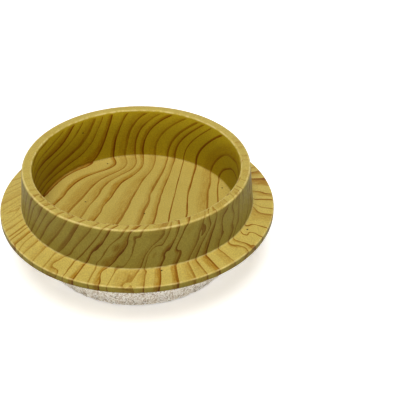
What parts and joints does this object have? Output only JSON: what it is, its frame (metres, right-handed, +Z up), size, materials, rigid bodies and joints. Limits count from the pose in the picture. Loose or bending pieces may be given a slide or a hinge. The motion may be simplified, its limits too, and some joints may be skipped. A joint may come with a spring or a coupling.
{
  "type": "caster cup",
  "caption": "Round moulded cup with a flange and a felt base, set under a furniture caster or leg to spread its load and protect the floor.",
  "frame": {"origin": "centre of the felt's underside, where the cup meets the floor", "axes": "+Z up along the cup's axis, out of the pocket's mouth; the cup is round, so X and Y are free"},
  "size_m": [0.068, 0.068, 0.0256],
  "materials": {
    "wood_grain_plastic": "satin, printed with brown wood grain on a tan base",
    "adhesive": "smooth pale bonding film",
    "felt": "coarse needle felt in mixed grey, beige and brown fibres"
  },
  "bodies": {
    "root": {"cup_body": "wood_grain_plastic", "adhesive_film": "adhesive", "felt_pad": "felt"}
  },
  "joints": []
}
